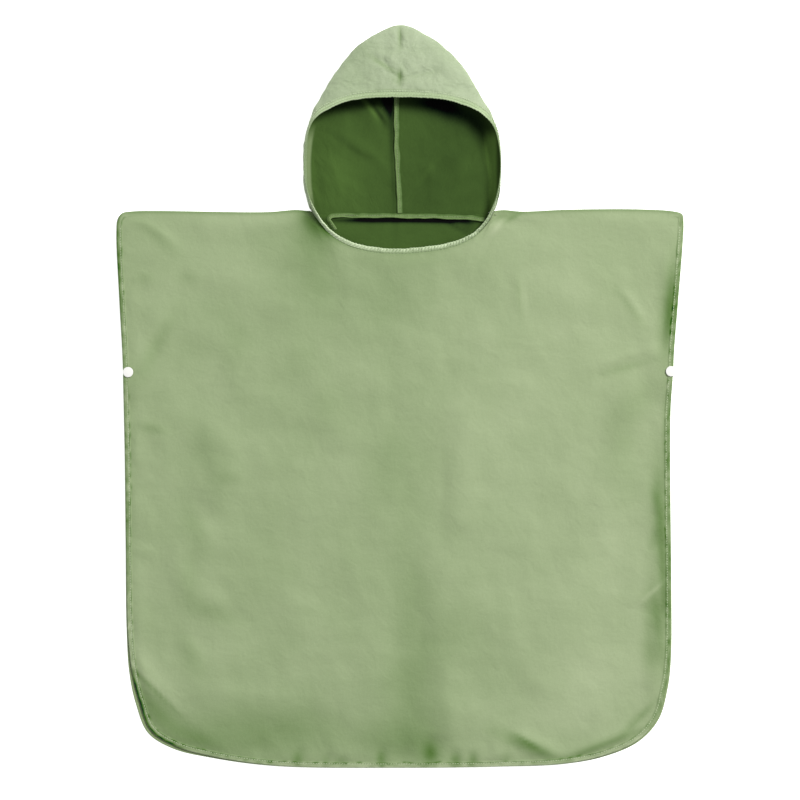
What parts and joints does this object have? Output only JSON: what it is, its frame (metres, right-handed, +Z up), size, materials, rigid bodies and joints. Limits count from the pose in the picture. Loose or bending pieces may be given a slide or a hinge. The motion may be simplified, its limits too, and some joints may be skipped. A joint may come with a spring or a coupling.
{
  "type": "hooded rain poncho laid flat",
  "caption": "Child's hooded rain poncho laid flat on its back: square body with rounded bottom corners, side press fasteners, pointed hood with a bound face opening.",
  "frame": {"origin": "on the floor under the middle of the garment's outline", "axes": "+Y from the bottom hem towards the hood's peak, +X to the right of the picture, +Z up off the floor, out of the face opening"},
  "size_m": [0.682, 0.893, 0.028],
  "materials": {
    "cloth": "sage green coated polyester, fine plain weave, soft satin sheen outside, darker matt green inside",
    "binding": "the same cloth folded over the edge, light along the fold, stitched",
    "tape": "bound seam allowance, inner side of the cloth",
    "snap": "white moulded acetal, soft gloss"
  },
  "bodies": {
    "root": {"back_panel": "cloth", "front_panel": "cloth", "hood_left": "cloth", "hood_right": "cloth", "opening_binding": "binding", "neck_seam_tape": "tape", "hood_seam_tape": "tape", "snap_left_back_cap": "snap", "snap_left_stud": "snap", "snap_left_socket": "snap", "snap_left_front_cap": "snap", "snap_right_back_cap": "snap", "snap_right_stud": "snap", "snap_right_socket": "snap", "snap_right_front_cap": "snap"}
  },
  "joints": []
}
